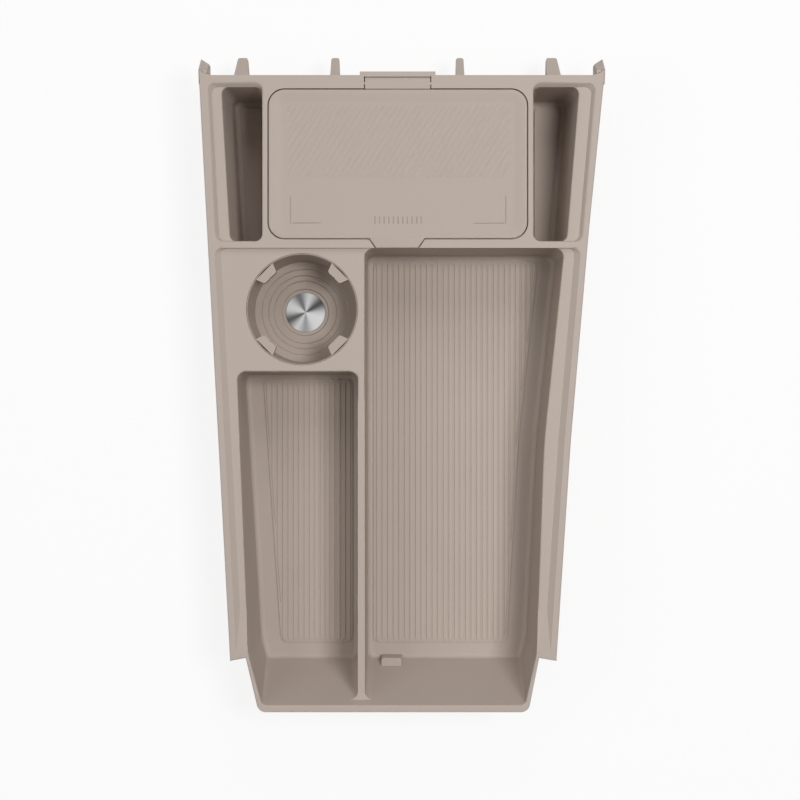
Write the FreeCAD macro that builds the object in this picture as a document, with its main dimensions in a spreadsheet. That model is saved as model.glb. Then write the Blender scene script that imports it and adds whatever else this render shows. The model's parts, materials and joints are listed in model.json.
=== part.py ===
"""Center console organizer tray with a hinged lid, cup well, side pockets and two ribbed wells.

Millimetres, +Z up. The tray rests on Z = 0, its rear edge is towards +Y and its left side towards -X.
"""

import FreeCAD
import Part
import math
import os
import Sketcher

from FreeCAD import Placement, Rotation, Vector


# Driving dimensions

DIMENSIONS = {
    # Levels
    "floor_wall": 2.5,
    "well_depth": 60.0,
    "ledge_drop": 3.0,
    "deck_wall": 2.5,
    # Shared walls and clearances
    "tub_wall": 2.5,
    "seat_gap": 0.3,
    "well_corner": 6.0,
    "nose_corner": 4.0,
    "ledge_corner": 5.0,
    "floor_round": 4.0,
    "nose_bend": 60.0,
    "side_bend": 500.0,
    # Outer edge of the rim, rear to front
    "rim_left_rear": 141.2,
    "rim_left_front": 119.0,
    "rim_right_rear": 143.7,
    "rim_right_upper": 132.4,
    "rim_right_middle": 119.6,
    "rim_right_front": 109.6,
    "rim_rear_corner": 231.5,
    "rim_upper": 119.0,
    "rim_middle": 30.0,
    "nose_overhang": 31.1,
    "end_slant": 2.8,
    "deck_rear": 227.5,
    "corner_notch": 8.2,
    # Rim and ledge
    "rim_width": 4.5,
    "step_width": 4.2,
    "ledge_rear": 106.5,
    "ledge_end": 37.0,
    "ledge_run": 30.0,
    "skirt_height": 14.0,
    "skirt_wall": 2.5,
    # Divider and wells
    "divider_centre": 27.2,
    "divider_wall": 4.7,
    "well_draft": 0.9,
    "small_rear": 20.0,
    "small_left_rear": 114.5,
    "small_left_front": 106.8,
    "small_left_nose": 96.6,
    "small_floor_front": 101.5,
    "small_floor_nose": 97.5,
    "large_right_rear": 115.3,
    "large_right_middle": 101.0,
    "large_right_front": 96.0,
    "large_right_nose": 87.5,
    "large_floor_front": 92.5,
    "large_floor_nose": 88.2,
    "well_front": 213.9,
    "nose_length": 37.9,
    "front_slope": 25.0,
    "front_lip": 2.6,
    "crest_drop": 4.4,
    # Side pockets
    "pocket_rear": 222.1,
    "pocket_front": 111.3,
    "pocket_step": 2.5,
    "left_pocket_outer_rear": 134.9,
    "left_pocket_outer_front": 129.2,
    "left_pocket_inner": 96.6,
    "left_pocket_wall_rear": 125.4,
    "left_pocket_wall_front": 119.2,
    "right_pocket_outer_rear": 137.2,
    "right_pocket_outer_front": 127.7,
    "right_pocket_inner": 93.5,
    "right_pocket_wall_rear": 125.8,
    "right_pocket_wall_front": 117.0,
    "pocket_taper": 4.0,
    "pocket_corner": 5.0,
    "pocket_lean": 0.9,
    # Lid
    "lid_left": 92.1,
    "lid_right": 89.1,
    "lid_rear": 217.5,
    "lid_front": 113.1,
    "lid_corner": 11.2,
    "lid_gap": 0.7,
    "lid_panel_height": 2.2,
    "lid_frame_height": 2.0,
    "lid_frame_inset": 1.4,
    "lid_flange_inset": 4.6,
    "lid_flange_wall": 1.6,
    "lid_flange_height": 4.0,
    "lid_lip": 3.2,
    "lid_slope": 1.6,
    "lid_under_chamfer": 1.3,
    "lid_dish": 0.8,
    "bay_shelf": 3.5,
    "bay_floor": 8.0,
    # Hinge
    "hinge_left": 25.2,
    "hinge_right": 21.9,
    "hinge_axis_back": 221.9,
    "hinge_axis_drop": 2.6,
    "knuckle_radius": 3.1,
    "knuckle_back": 4.4,
    "knuckle_front": 4.0,
    "knuckle_round": 2.4,
    "knuckle_tail": 8.4,
    "pin_radius": 1.25,
    "pin_run": 0.05,
    "pin_grip": 6.0,
    "knuckle_side": 0.7,
    "hinge_bar_overhang": 2.8,
    "hinge_bar_wall": 3.65,
    "hinge_notch_past": 5.0,
    "hinge_bar_drop": 1.6,
    "hinge_bar_height": 7.0,
    # Cup
    "cup_left": 68.7,
    "cup_back": 63.7,
    "cup_radius": 39.3,
    "cup_wall": 2.3,
    "cup_depth": 50.0,
    "liner_wall": 2.8,
    "liner_lip": 0.5,
    "liner_floor": 1.6,
    "lug_reach": 7.6,
    "lug_width": 16.4,
    "lug_nose": 11.6,
    "lug_height": 9.0,
    "lug_drop": 0.6,
    "disc_radius": 14.2,
    "disc_height": 1.2,
    "lug_corner": 1.8,
    "lug_notch": 0.6,
    "terrace_slope": 0.9,
    "terrace_a": 31.5,
    "terrace_b": 27.0,
    "terrace_c": 23.1,
    "terrace_d": 17.3,
    "terrace_rise": 1.7,
    # Mats
    "mat_height": 1.6,
    "mat_rib": 0.7,
    "mat_pitch": 4.09,
    "mat_pitch_small": 3.95,
    "mat_groove": 1.5,
    "mat_border": 1.6,
    "mat_clear": 0.4,
    "mat_side": 14.2,
    "mat_end": 11.4,
    "mat_corner": 5.0,
    # Ribs of the lid
    "slant_left": 78.4,
    "slant_right": 77.0,
    "slant_rear": 206.2,
    "slant_front": 156.5,
    "slant_pitch": 4.68,
    "slant_groove": 2.1,
    "slant_angle": 57.8,
    "slant_height": 0.35,
    "slant_spare": 0.6,
    # Locating fingers and wings
    "finger_root": 219.0,
    "finger_tip": 246.0,
    "finger_tip_top": 31.0,
    "finger_tip_depth": 6.0,
    "finger_root_drop": 1.2,
    "finger_root_depth": 26.0,
    "finger_round": 1.6,
    "wing_back": 242.0,
    "wing_drop": 18.0,
    "wing_foot": 27.0,
    "wing_width": 5.7,
    "wing_root": 222.0,
    "wing_slant": 3.7,
    # Stop block at the front of the large well
    "block_left": 14.7,
    "block_width": 17.0,
    "block_back": 2.2,
    "block_bite": 1.6,
    "block_height": 12.0,
    "block_taper": 1.2,
    "block_corner": 1.5,
    # Thumb tab of the lid and its notch in the bar
    "tab_left": 21.4,
    "tab_right": 17.2,
    "tab_taper": 4.6,
    "tab_gap": 0.6,
    "tab_root": 2.0,
    "scoop_run": 44.0,
    "scoop_width": 1.6,
    "scoop_depth": 0.6,
}

FINGERS = {
    "finger_a": (-118.4, -106.4, -116.4, -109.6),
    "finger_b": (-49.6, -42.3, -49.3, -43.7),
    "finger_c": (39.2, 45.7, 40.3, 45.6),
    "finger_d": (103.4, 115.0, 105.2, 112.6),
}
FINGER_SIZES = ("root_left", "root_right", "tip_left", "tip_right")

doc = FreeCAD.newDocument("OrganizerTray")
sheet = doc.addObject("Spreadsheet::Sheet", "Sizes")


def fill_sheet():
    """Write each driving dimension to its own named cell."""
    values = dict(DIMENSIONS)
    for finger, sizes in FINGERS.items():
        for size_name, value in zip(FINGER_SIZES, sizes):
            values[f"{finger}_{size_name}"] = value
    for row, (name, value) in enumerate(values.items(), start=1):
        sheet.set(f"A{row}", name)
        sheet.set(f"B{row}", str(value))
        sheet.setAlias(f"B{row}", name)
    doc.recompute()


def named(text):
    """Turn plain size names in an expression into references to the sheet."""
    words = set("".join(c if c.isalnum() or c == "_" else " " for c in text).split())
    aliases = sorted((w for w in words if sheet.getCellFromAlias(w)), key=len, reverse=True)
    out = []
    token = ""
    for c in text + " ":
        if c.isalnum() or c == "_":
            token += c
            continue
        out.append(f"Sizes.{token}" if token in aliases else token)
        out.append(c)
        token = ""
    return "".join(out).strip()


def value(text):
    """Number that an expression gives now."""
    result = sheet.evalExpression(named(text))
    return float(getattr(result, "Value", result))


# Levels that several pieces share

FLOOR = "floor_wall"
LEDGE = "floor_wall + well_depth"
RIM = "floor_wall + well_depth + ledge_drop"
AXIS = f"{RIM} - hinge_axis_drop"

# Places along Y that several pieces share, in front of the middle

WELL_BEND = "(well_front - nose_length)"
FLOOR_FRONT = "(well_front - front_slope)"
MAT_FRONT = f"({FLOOR_FRONT} - mat_end)"
RIM_FRONT = "(well_front - nose_overhang)"
LEDGE_FRONT = "(well_front - ledge_end)"
FRONT_SLOPE = f"front_slope / ({RIM} - floor_wall)"


# Helpers for bodies, sketches and features

def new_body(label):
    """Body whose label names its file."""
    body = doc.addObject("PartDesign::Body", label)
    body.Label = label
    return body


def plane(body, role):
    """Origin plane of a body, found by its role."""
    for feature in body.Origin.OriginFeatures:
        if feature.Role == role:
            return feature
    raise ValueError(role)


def new_sketch(body, label, role, offset):
    """Empty sketch on an origin plane, moved along the plane's normal by an expression."""
    sketch = body.newObject("Sketcher::SketchObject", label)
    sketch.AttachmentSupport = (plane(body, role), [""])
    sketch.MapMode = "FlatFace"
    sketch.setExpression("AttachmentOffset.Base.z", named(offset))
    return sketch


def polygon(body, label, offset, corners, radii=None, role="XY_Plane"):
    """Closed outline whose corners are pairs of expressions, each with its own radius if given."""
    sketch = new_sketch(body, label, role, offset)
    points = [Vector(value(x), value(y), 0) for x, y in corners]
    count = len(points)
    radii = radii or [None] * count
    entries = []
    exits = []
    for i, point in enumerate(points):
        back = (points[i - 1] - point).normalize()
        ahead = (points[(i + 1) % count] - point).normalize()
        reach = 0.0
        if radii[i]:
            reach = value(radii[i]) / math.tan(back.getAngle(ahead) / 2)
        entries.append(point + back * reach)
        exits.append(point + ahead * reach)
    lines = [sketch.addGeometry(Part.LineSegment(exits[i], entries[(i + 1) % count]), False)
             for i in range(count)]
    for i, (x, y) in enumerate(corners):
        if radii[i]:
            corner = (points[i], entries[i], exits[i])
            place = (add_corner_arc(sketch, corner, lines[i - 1], lines[i], radii[i]), 1)
        else:
            sketch.addConstraint(Sketcher.Constraint("Coincident", lines[i - 1], 2, lines[i], 1))
            place = (lines[i], 1)
        for kind, text, size in (("DistanceX", x, points[i].x), ("DistanceY", y, points[i].y)):
            index = sketch.addConstraint(Sketcher.Constraint(kind, -1, 1, place[0], place[1], size))
            sketch.setExpression(f"Constraints[{index}]", named(text))
    return sketch


def add_corner_arc(sketch, points, line_in, line_out, radius):
    """Arc that rounds one corner, and the construction point that holds the sharp corner's place."""
    corner, entry, leave = points
    size = value(radius)
    middle = (entry + leave) * 0.5
    towards = (middle - corner).normalize()
    half_chord = (leave - entry).Length / 2
    centre = middle + towards * math.sqrt(max(size ** 2 - half_chord ** 2, 0.0))
    through = centre - towards * size
    arc = sketch.addGeometry(Part.Arc(entry, through, leave), False)
    ends = arc_ends(sketch, arc, entry)
    sketch.addConstraint(Sketcher.Constraint("Tangent", line_in, 2, arc, ends[0]))
    sketch.addConstraint(Sketcher.Constraint("Tangent", arc, ends[1], line_out, 1))
    index = sketch.addConstraint(Sketcher.Constraint("Radius", arc, size))
    sketch.setExpression(f"Constraints[{index}]", named(radius))
    point = sketch.addGeometry(Part.Point(corner), True)
    sketch.addConstraint(Sketcher.Constraint("PointOnObject", point, 1, line_in))
    sketch.addConstraint(Sketcher.Constraint("PointOnObject", point, 1, line_out))
    return point


def arc_ends(sketch, arc, entry):
    """Which end of an arc lies at its entry, and the other one."""
    start = sketch.getPoint(arc, 1)
    return (1, 2) if (start - entry).Length < 1e-6 else (2, 1)


def circle(body, label, offset, centre, radius, role="XY_Plane"):
    """Circle whose centre and radius are expressions."""
    sketch = new_sketch(body, label, role, offset)
    x, y = centre
    sketch.addGeometry(Part.Circle(Vector(value(x), value(y), 0), Vector(0, 0, 1), value(radius)), False)
    limits = (("DistanceX", x), ("DistanceY", y))
    for kind, text in limits:
        index = sketch.addConstraint(Sketcher.Constraint(kind, -1, 1, 0, 3, value(text)))
        sketch.setExpression(f"Constraints[{index}]", named(text))
    index = sketch.addConstraint(Sketcher.Constraint("Radius", 0, value(radius)))
    sketch.setExpression(f"Constraints[{index}]", named(radius))
    return sketch


def pad(body, label, sketch, length, down=False):
    """Pad a sketch by an expression."""
    feature = body.newObject("PartDesign::Pad", label)
    feature.Profile = sketch
    feature.Reversed = down
    feature.setExpression("Length", named(length))
    doc.recompute()
    return feature


def pocket(body, label, sketch, length, up=False):
    """Cut a sketch down by an expression, and check that something was cut."""
    before = body.Shape.Volume
    feature = body.newObject("PartDesign::Pocket", label)
    feature.Profile = sketch
    feature.Reversed = up
    feature.setExpression("Length", named(length))
    doc.recompute()
    if body.Shape.Volume >= before:
        raise ValueError(f"{label} cuts nothing")
    return feature


def loft(body, label, sketches, cut=False):
    """Straight-sided loft between two outlines."""
    before = body.Shape.Volume if cut else 0.0
    kind = "PartDesign::SubtractiveLoft" if cut else "PartDesign::AdditiveLoft"
    feature = body.newObject(kind, label)
    feature.Profile = sketches[0]
    feature.Sections = sketches[1:]
    feature.Ruled = True
    doc.recompute()
    if cut and body.Shape.Volume >= before:
        raise ValueError(f"{label} cuts nothing")
    return feature


def fillet(body, label, radius, wanted):
    """Round the edges that a test picks."""
    base = body.Tip
    names = [f"Edge{i}" for i, edge in enumerate(base.Shape.Edges, start=1) if wanted(edge)]
    if not names:
        raise ValueError(f"{label} finds no edges")
    feature = body.newObject("PartDesign::Fillet", label)
    feature.Base = (base, names)
    feature.setExpression("Radius", named(radius))
    doc.recompute()
    return feature


def at_level(height, inside):
    """Test for edges that lie at one level within a box of plain numbers."""
    level = value(height)
    x_low, x_high, y_low, y_high = inside

    def wanted(edge):
        box = edge.BoundBox
        if abs(box.ZMin - level) > 0.02 or abs(box.ZMax - level) > 0.02:
            return False
        return x_low < box.XMin and box.XMax < x_high and y_low < box.YMin and box.YMax < y_high
    return wanted


def grown(corners, amount, signs):
    """Outline with each corner moved outwards by an expression along its two signs."""
    moved = []
    for (x, y), (sx, sy) in zip(corners, signs):
        new_x = f"{x} {sx} ({amount})" if sx else x
        new_y = f"{y} {sy} ({amount})" if sy else y
        moved.append((new_x, new_y))
    return moved


# Outlines that cavities, tub walls and mats share

DIVIDER_LEFT = "-divider_centre - divider_wall / 2"
DIVIDER_RIGHT = "-divider_centre + divider_wall / 2"

SMALL_TOP = [
    ("-small_left_rear", "small_rear"),
    (DIVIDER_LEFT, "small_rear"),
    (DIVIDER_LEFT, "-well_front"),
    ("-small_left_nose", "-well_front"),
    ("-small_left_front", f"-{WELL_BEND}"),
]
SMALL_FLOOR = [
    ("-small_left_rear + well_draft", "small_rear - well_draft"),
    (f"{DIVIDER_LEFT} - well_draft", "small_rear - well_draft"),
    (f"{DIVIDER_LEFT} - well_draft", f"-{FLOOR_FRONT}"),
    ("-small_floor_nose", f"-{FLOOR_FRONT}"),
    ("-small_floor_front", f"-{WELL_BEND}"),
]
SMALL_SIGNS = [("-", "+"), ("+", "+"), ("+", "-"), ("-", "-"), ("-", "")]
SMALL_RADII = ["well_corner", "well_corner", "well_corner", "nose_corner", "nose_bend"]
SMALL_OUTER_RADII = ["well_corner", "well_corner", None, "nose_corner", "nose_bend"]

LARGE_TOP = [
    (DIVIDER_RIGHT, "ledge_rear"),
    ("large_right_rear", "ledge_rear"),
    ("large_right_middle", "-rim_middle"),
    ("large_right_front", f"-{WELL_BEND}"),
    ("large_right_nose", "-well_front"),
    (DIVIDER_RIGHT, "-well_front"),
]
LARGE_FLOOR = [
    (f"{DIVIDER_RIGHT} + well_draft", "ledge_rear - well_draft"),
    ("large_right_rear - well_draft", "ledge_rear - well_draft"),
    ("large_right_middle - well_draft", "-rim_middle"),
    ("large_floor_front", f"-{WELL_BEND}"),
    ("large_floor_nose", f"-{FLOOR_FRONT}"),
    (f"{DIVIDER_RIGHT} + well_draft", f"-{FLOOR_FRONT}"),
]
LARGE_SIGNS = [("-", "+"), ("+", "+"), ("+", ""), ("+", ""), ("+", "-"), ("-", "-")]
LARGE_RADII = ["well_corner", "well_corner", "side_bend", "nose_bend", "nose_corner", "well_corner"]
LARGE_OUTER_RADII = ["well_corner", "well_corner", "side_bend", "nose_bend", "nose_corner", None]


def pocket_outlines(side):
    """Step, wall top and floor outlines of a side pocket; side is left or right."""
    sign = "-" if side == "left" else ""
    inward, outward = ("+", "-") if side == "left" else ("-", "+")
    step = [
        (f"{sign}{side}_pocket_outer_rear", "pocket_rear"),
        (f"{sign}{side}_pocket_inner", "pocket_rear"),
        (f"{sign}{side}_pocket_inner", "pocket_front"),
        (f"{sign}{side}_pocket_outer_front", "pocket_front"),
    ]
    step_foot = [
        (f"{step[0][0]} {inward} pocket_step", "pocket_rear - pocket_step"),
        (step[1][0], "pocket_rear - pocket_step"),
        step[2],
        (f"{step[3][0]} {inward} pocket_step", step[3][1]),
    ]
    top = [
        (f"{sign}{side}_pocket_wall_rear", step_foot[0][1]),
        step_foot[1],
        step[2],
        (f"{sign}{side}_pocket_wall_front", "pocket_front"),
    ]
    floor = [
        (f"{top[0][0]} {inward} pocket_taper", f"{top[0][1]} - pocket_lean"),
        (f"{step[1][0]} {outward} pocket_lean", f"{top[0][1]} - pocket_lean"),
        (f"{step[2][0]} {outward} pocket_lean", "pocket_front"),
        (f"{top[3][0]} {inward} pocket_taper", "pocket_front"),
    ]
    signs = [(outward, "+"), (inward, "+"), (inward, "-"), (outward, "-")]
    return step, step_foot, top, floor, signs


POCKET_RADII = ["pocket_corner"] * 4

BAY_OPENING = [
    ("-lid_left - lid_gap", "lid_rear + lid_gap"),
    ("lid_right + lid_gap", "lid_rear + lid_gap"),
    ("lid_right + lid_gap", "lid_front - lid_gap"),
    ("-lid_left - lid_gap", "lid_front - lid_gap"),
]
BAY_SIGNS = [("-", "+"), ("+", "+"), ("+", "-"), ("-", "-")]
BAY_WELL = grown(BAY_OPENING, "-bay_shelf", BAY_SIGNS)
SHELF = f"{RIM} - lid_panel_height - lid_frame_height - seat_gap"

DECK = [
    ("-rim_left_rear", "rim_rear_corner"),
    ("-rim_left_rear + corner_notch", "deck_rear"),
    ("rim_right_rear - corner_notch", "deck_rear"),
    ("rim_right_rear", "rim_rear_corner"),
    ("rim_right_upper", "rim_upper"),
    ("rim_right_middle", "-rim_middle"),
    ("rim_right_front", f"-{RIM_FRONT}"),
    ("large_right_front - tub_wall", f"-{RIM_FRONT} + end_slant"),
    ("-small_left_front + tub_wall", f"-{RIM_FRONT} + end_slant"),
    ("-rim_left_front", f"-{RIM_FRONT}"),
]
DECK_RADII = [None] * 4 + ["side_bend", "side_bend"] + [None] * 4
LEFT_LEAN = f"(rim_left_rear - rim_left_front) / (rim_rear_corner + {RIM_FRONT})"
RIGHT_LEAN = "(rim_right_upper - rim_right_middle) / (rim_upper + rim_middle)"
FRONT_LEAN = f"(rim_right_middle - rim_right_front) / ({RIM_FRONT} - rim_middle)"


def left_edge(y):
    """Outer edge of the rim on the left at a place along Y."""
    return f"-rim_left_rear + {LEFT_LEAN} * (rim_rear_corner - ({y}))"


def right_edge(y):
    """Outer edge of the rim on the right, between its two bends."""
    return f"rim_right_upper - {RIGHT_LEAN} * (rim_upper - ({y}))"


def right_front_edge(y):
    """Outer edge of the rim on the right, in front of its bends."""
    return f"rim_right_middle - {FRONT_LEAN} * (-rim_middle - ({y}))"


def ledge_outline(inset, front):
    """Outline of the lowered ledge area, up to a place near the front."""
    return [
        (f"{left_edge('ledge_rear')} + {inset}", "ledge_rear"),
        (f"{right_edge('ledge_rear')} - ({inset})", "ledge_rear"),
        (f"rim_right_middle - ({inset})", "-rim_middle"),
        (f"{right_front_edge('-' + front)} - ({inset})", f"-{front}"),
        (f"{left_edge('-' + front)} + {inset}", f"-{front}"),
    ]


LEDGE_RADII = ["ledge_corner", "ledge_corner", "side_bend", None, None]


# Tray body

def add_tub(body, label, top, floor, signs, radii, top_level, lip=None):
    """Outer wall of a tub, one wall thickness outside its cavity, with a thicker lip in front if given."""
    outer = [f"{radius} + tub_wall" if radius else None for radius in radii]
    edge = grown(top, "tub_wall", signs)
    if lip:
        edge = grown(edge, lip, [("", "-" if sign[1] == "-" else "") for sign in signs])
    upper = polygon(body, f"{label}_outer_top", top_level, edge, outer)
    foot = grown(floor, "tub_wall", signs)
    lower = polygon(body, f"{label}_outer_floor", f"{FLOOR} - floor_wall", foot, outer)
    loft(body, f"{label}_outer", [upper, lower])


def cut_tub(body, label, top, floor, radii, top_level):
    """Cavity of a tub, rounded where its walls meet the floor."""
    upper = polygon(body, f"{label}_top", top_level, top, radii)
    lower = polygon(body, f"{label}_floor", FLOOR, floor, radii)
    loft(body, f"{label}_cavity", [upper, lower], cut=True)


def make_tray():
    """Moulded shell with all its wells and hooks."""
    body = new_body("tray_body")
    deck = polygon(body, "deck_outline", RIM, DECK, DECK_RADII)
    pad(body, "deck_plate", deck, "ledge_drop + deck_wall", down=True)

    add_tub(body, "small_well", SMALL_TOP, SMALL_FLOOR, SMALL_SIGNS, SMALL_OUTER_RADII, RIM, "front_lip")
    add_tub(body, "large_well", LARGE_TOP, LARGE_FLOOR, LARGE_SIGNS, LARGE_OUTER_RADII, RIM, "front_lip")
    for side in ("left", "right"):
        step, step_foot, top, floor, signs = pocket_outlines(side)
        add_tub(body, f"{side}_pocket", top, floor, signs, POCKET_RADII, LEDGE)
    bay_outer = grown(BAY_WELL, "tub_wall", BAY_SIGNS)
    bay = polygon(body, "bay_outer_outline", SHELF, bay_outer, ["lid_corner + lid_gap"] * 4)
    pad(body, "bay_outer", bay, f"{SHELF} - bay_floor", down=True)
    cup = circle(body, "cup_outer_outline", LEDGE, ("-cup_left", "cup_back"), "cup_radius + cup_wall")
    pad(body, "cup_outer", cup, "cup_depth + floor_wall + seat_gap", down=True)
    add_skirts(body)
    add_fingers(body)
    add_wings(body)

    ledge = polygon(body, "ledge_top", RIM, ledge_outline("rim_width", LEDGE_FRONT), LEDGE_RADII)
    ledge_foot = polygon(body, "ledge_foot", LEDGE,
                         ledge_outline("rim_width + step_width", f"({LEDGE_FRONT} - ledge_run)"), LEDGE_RADII)
    loft(body, "ledge_recess", [ledge, ledge_foot], cut=True)
    cut_tub(body, "small_well", SMALL_TOP, SMALL_FLOOR, SMALL_RADII, RIM)
    cut_tub(body, "large_well", LARGE_TOP, LARGE_FLOOR, LARGE_RADII, RIM)
    cut_crest(body)
    for side in ("left", "right"):
        step, step_foot, top, floor, signs = pocket_outlines(side)
        upper = polygon(body, f"{side}_pocket_step_top", RIM, step, POCKET_RADII)
        lower = polygon(body, f"{side}_pocket_step_foot", LEDGE, step_foot, POCKET_RADII)
        loft(body, f"{side}_pocket_step", [upper, lower], cut=True)
        cut_tub(body, f"{side}_pocket", top, floor, POCKET_RADII, LEDGE)
    shelf = polygon(body, "bay_opening", RIM, BAY_OPENING, ["lid_corner + lid_gap"] * 4)
    pocket(body, "bay_shelf_cut", shelf, "lid_panel_height + lid_frame_height + seat_gap")
    well = polygon(body, "bay_well_outline", RIM, BAY_WELL, ["lid_corner + lid_gap - tub_wall"] * 4)
    pocket(body, "bay_well", well, f"{RIM} - bay_floor - floor_wall")
    cup = circle(body, "cup_outline", LEDGE, ("-cup_left", "cup_back"), "cup_radius")
    pocket(body, "cup_well", cup, "cup_depth + seat_gap")
    fillet(body, "floor_rounds", "floor_round", at_level(FLOOR, (-200, 200, -300, 300)))
    add_hinge_seat(body)
    add_tab_notch(body)
    add_stop_block(body)
    return body


def cut_crest(body):
    """Slope the divider's top down towards the front, as far as the front wall's face."""
    outline = [
        ("0", LEDGE),
        ("0", f"{RIM} + front_lip"),
        ("-well_front", f"{RIM} + front_lip"),
        ("-well_front", RIM),
        (f"-well_front + {FRONT_SLOPE} * (ledge_drop + crest_drop)", f"{LEDGE} - crest_drop"),
    ]
    reach = "divider_wall / 2 + well_corner + tub_wall"
    sketch = polygon(body, "crest_outline", f"-divider_centre - ({reach})", outline, role="YZ_Plane")
    pocket(body, "divider_crest", sketch, f"2 * ({reach})", up=True)


def add_skirts(body):
    """Down-turned skirt under the rim on each side."""
    sides = {
        "left": ([("-rim_left_rear", "rim_rear_corner"), ("-rim_left_front", f"-{RIM_FRONT}")], "+"),
        "right": ([("rim_right_rear", "rim_rear_corner"), ("rim_right_upper", "rim_upper"),
                   ("rim_right_middle", "-rim_middle"), ("rim_right_front", f"-{RIM_FRONT}")], "-"),
    }
    for side, (edge, inward) in sides.items():
        inner = [(f"{x} {inward} skirt_wall", y) for x, y in reversed(edge)]
        inner[0] = (inner[0][0], f"{inner[0][1]} + end_slant / 4")
        bends = [None] + ["side_bend"] * (len(edge) - 2) + [None]
        outline = polygon(body, f"{side}_skirt_outline", RIM, edge + inner, bends * 2)
        pad(body, f"{side}_skirt", outline, "ledge_drop + deck_wall + skirt_height", down=True)


def add_fingers(body):
    """Four locating fingers that reach back and down from the rear edge."""
    for finger in FINGERS:
        root_top = f"{RIM} - finger_root_drop"
        root = [
            (f"{finger}_root_left", root_top),
            (f"{finger}_root_right", root_top),
            (f"{finger}_root_right", f"{root_top} - finger_root_depth"),
            (f"{finger}_root_left", f"{root_top} - finger_root_depth"),
        ]
        tip = [
            (f"{finger}_tip_left", "finger_tip_top"),
            (f"{finger}_tip_right", "finger_tip_top"),
            (f"{finger}_tip_right", "finger_tip_top - finger_tip_depth"),
            (f"{finger}_tip_left", "finger_tip_top - finger_tip_depth"),
        ]
        back = polygon(body, f"{finger}_root", "-finger_root", root, role="XZ_Plane")
        end = polygon(body, f"{finger}_tip", "-finger_tip", tip, role="XZ_Plane")
        loft(body, finger, [back, end])
    tip_place = value("finger_tip")
    fillet(body, "finger_tips", "finger_round",
           lambda edge: abs(edge.BoundBox.YMin - tip_place) < 0.01 and edge.BoundBox.ZLength > 1)


def add_wings(body):
    """Wing behind each rear corner, where the skirt runs on past the deck and turns inwards."""
    for side, place, step in (("left", "-rim_left_rear", "+"), ("right", "rim_right_rear", "-")):
        outer = wing_outline("wing_back")
        inner = wing_outline("wing_back - wing_slant")
        near = polygon(body, f"{side}_wing_outer", place, outer, role="YZ_Plane")
        far = polygon(body, f"{side}_wing_inner", f"{place} {step} wing_width", inner, role="YZ_Plane")
        loft(body, f"{side}_wing", [near, far])


def wing_outline(back):
    """Side view of a wing that ends at a place along Y."""
    return [
        ("wing_root", f"{RIM} - deck_wall"),
        ("rim_rear_corner", f"{RIM} - deck_wall / 4"),
        (back, f"{RIM} - wing_drop"),
        (back, f"{RIM} - wing_foot"),
        ("wing_root", f"{RIM} - wing_foot"),
    ]


def add_hinge_seat(body):
    """Notch between the hinge ears, the bar behind it and the pin's bore."""
    notch = [
        ("-hinge_left", "deck_rear + hinge_notch_past"),
        ("hinge_right", "deck_rear + hinge_notch_past"),
        ("hinge_right", "lid_rear + lid_gap - bay_shelf - tub_wall"),
        ("-hinge_left", "lid_rear + lid_gap - bay_shelf - tub_wall"),
    ]
    sketch = polygon(body, "hinge_notch_outline", RIM, notch)
    pocket(body, "hinge_notch", sketch, "hinge_axis_drop + knuckle_radius + seat_gap")
    bar = [
        ("-hinge_left - pin_grip / 2", "deck_rear + hinge_bar_overhang - hinge_bar_wall"),
        ("-hinge_left - pin_grip / 2", "deck_rear + hinge_bar_overhang"),
        ("hinge_right + pin_grip / 2", "deck_rear + hinge_bar_overhang"),
        ("hinge_right + pin_grip / 2", "deck_rear + hinge_bar_overhang - hinge_bar_wall"),
    ]
    sketch = polygon(body, "hinge_bar_outline", f"{RIM} - hinge_bar_drop", bar)
    pad(body, "hinge_bar", sketch, "hinge_bar_height", down=True)
    bore = circle(body, "pin_bore_outline", "-hinge_left - pin_grip", ("hinge_axis_back", AXIS), "pin_radius",
                  role="YZ_Plane")
    pocket(body, "pin_bore", bore, "hinge_left + hinge_right + 2 * pin_grip", up=True)


def tab_outline(clearance):
    """Outline of the lid's thumb tab, or of its notch when there is a clearance."""
    back = "lid_front + tab_root"
    return [
        (f"-tab_left - {clearance}", back),
        (f"tab_right + {clearance}", back),
        (f"tab_right + {clearance}", "lid_front"),
        (f"tab_right - tab_taper + {clearance}", f"ledge_rear - {clearance}"),
        (f"-tab_left + tab_taper - {clearance}", f"ledge_rear - {clearance}"),
        (f"-tab_left - {clearance}", "lid_front"),
    ]


def add_tab_notch(body):
    """Notch in the bar in front of the lid for the thumb tab, with a shallow scoop on each side of it."""
    sketch = polygon(body, "tab_notch_outline", RIM, tab_outline("tab_gap"))
    pocket(body, "tab_notch", sketch, "lid_panel_height + seat_gap")
    back = "lid_front - lid_gap / 2"
    edge = "lid_front - lid_gap - scoop_width"
    scoops = {
        "left": [("-tab_left", back), ("-tab_left - scoop_run", back), ("-tab_left - scoop_run / 2", edge),
                 ("-tab_left", edge)],
        "right": [("tab_right", back), ("tab_right", edge), ("tab_right + scoop_run / 2", edge),
                  ("tab_right + scoop_run", back)],
    }
    for side, outline in scoops.items():
        sketch = polygon(body, f"{side}_scoop_outline", RIM, outline)
        pocket(body, f"{side}_scoop", sketch, "scoop_depth")


def add_stop_block(body):
    """Small tapered block where the floor of the large well meets the front slope."""
    foot = polygon(body, "stop_block_foot", f"{FLOOR} - floor_wall / 2", block_outline("0", "0"),
                   ["block_corner"] * 4)
    crown = polygon(body, "stop_block_crown", f"{FLOOR} + block_height",
                    block_outline("block_taper", f"{FRONT_SLOPE} * block_height"), ["block_corner"] * 4)
    loft(body, "stop_block", [foot, crown])


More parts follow.
